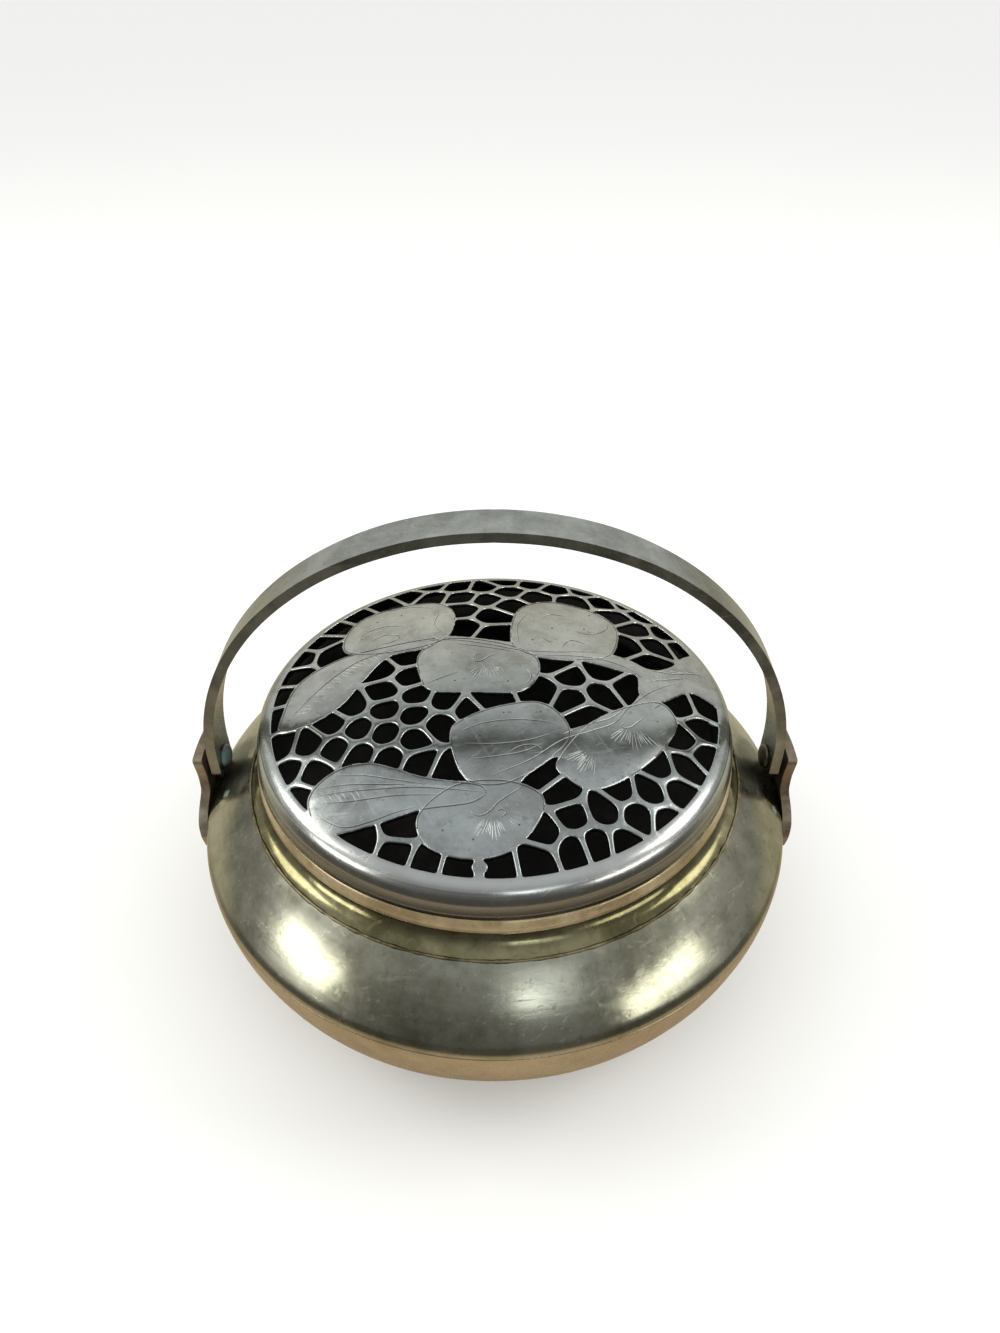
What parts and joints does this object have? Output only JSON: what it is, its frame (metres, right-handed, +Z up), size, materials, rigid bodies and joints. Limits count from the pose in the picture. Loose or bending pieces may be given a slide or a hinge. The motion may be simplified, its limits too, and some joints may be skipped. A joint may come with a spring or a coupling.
{
  "type": "hand warmer",
  "caption": "Squat round metal hand warmer with a pierced lift-off lid and a swinging strap handle.",
  "frame": {"origin": "middle of the flat foot ring's underside, on the surface that the vessel stands on", "axes": "+Z up through the middle of the lid; +X towards the right ear, along the handle's pivot line; +Y to the back"},
  "size_m": [0.1474, 0.1426, 0.1129],
  "materials": {
    "vessel_metal": "aged, softly polished",
    "collar_brass": "dark aged",
    "band_brass": "worn bright",
    "ear_brass": "aged",
    "rivet_brass": "aged with verdigris",
    "lid_white_copper": "satin, hand engraved",
    "handle_brass": "aged, dark edges"
  },
  "bodies": {
    "vessel": {"lower_bowl": "vessel_metal", "shoulder": "vessel_metal", "neck_collar": "collar_brass", "seat_band": "band_brass", "ear_left": "ear_brass", "ear_right": "ear_brass", "rivet_left": "rivet_brass", "rivet_right": "rivet_brass"},
    "lid": {"pierced_lid": "lid_white_copper"},
    "handle": {"handle": "handle_brass"}
  },
  "joints": [
    {"name": "lid_lift", "type": "slide", "parent": "vessel", "child": "lid", "axis": [0, 0, 1], "range_m": [0, 0.015]},
    {"name": "handle_swing", "type": "hinge", "parent": "vessel", "child": "handle", "pos_m": [0, 0, 0.0473], "axis": [1, 0, 0], "range_deg": [-86, 86]}
  ]
}
